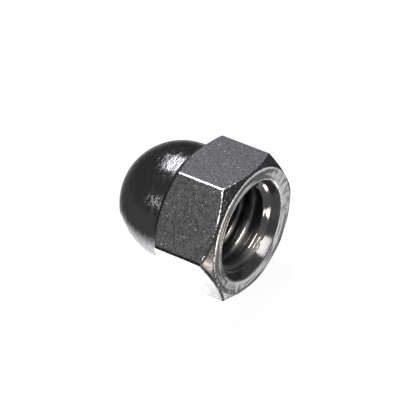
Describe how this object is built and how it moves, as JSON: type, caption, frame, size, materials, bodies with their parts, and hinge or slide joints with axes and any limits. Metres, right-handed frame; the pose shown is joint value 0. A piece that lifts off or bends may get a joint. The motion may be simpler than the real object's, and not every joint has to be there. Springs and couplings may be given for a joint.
{
  "type": "crown nut",
  "caption": "Hexagon nut closed by a rounded dome over a blind threaded hole; it caps, covers and protects the end of a bolt or stud.",
  "frame": {"origin": "centre of the bearing face, on the thread axis", "axes": "+X along the thread axis, out of the open end; +Z square to the flat that faces up while the nut lies on the opposite flat"},
  "size_m": [0.0151, 0.0162, 0.014],
  "materials": {
    "plated_steel": "dark grey plated steel: satin turned dome and bearing face, finely grained hexagon flats, worn bright edges"
  },
  "bodies": {
    "root": {"crown_nut": "plated_steel"}
  },
  "joints": []
}
